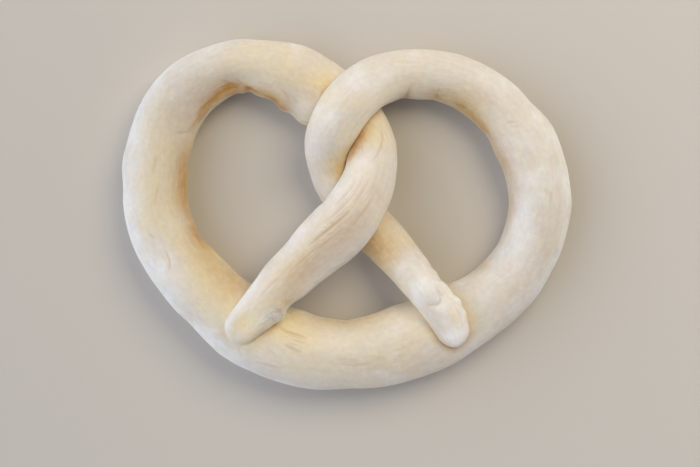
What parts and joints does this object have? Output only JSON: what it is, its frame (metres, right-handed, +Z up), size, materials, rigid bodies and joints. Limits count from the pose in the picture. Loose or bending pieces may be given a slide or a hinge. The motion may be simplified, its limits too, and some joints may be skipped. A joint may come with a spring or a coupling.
{
  "type": "pretzel",
  "caption": "Raw, shaped soft pretzel: one rope of pale dough in a heart, its ends twisted once and pressed onto the bottom; unbaked, without salt or browned crust.",
  "frame": {"origin": "on the worktop, under the middle of the pretzel's outline", "axes": "+X to the right and +Y to the top of the heart as it is looked down on, +Z up from the worktop"},
  "size_m": [0.1404, 0.1096, 0.0247],
  "materials": {
    "raw_dough": "satin"
  },
  "bodies": {
    "root": {"dough": "raw_dough"}
  },
  "joints": []
}
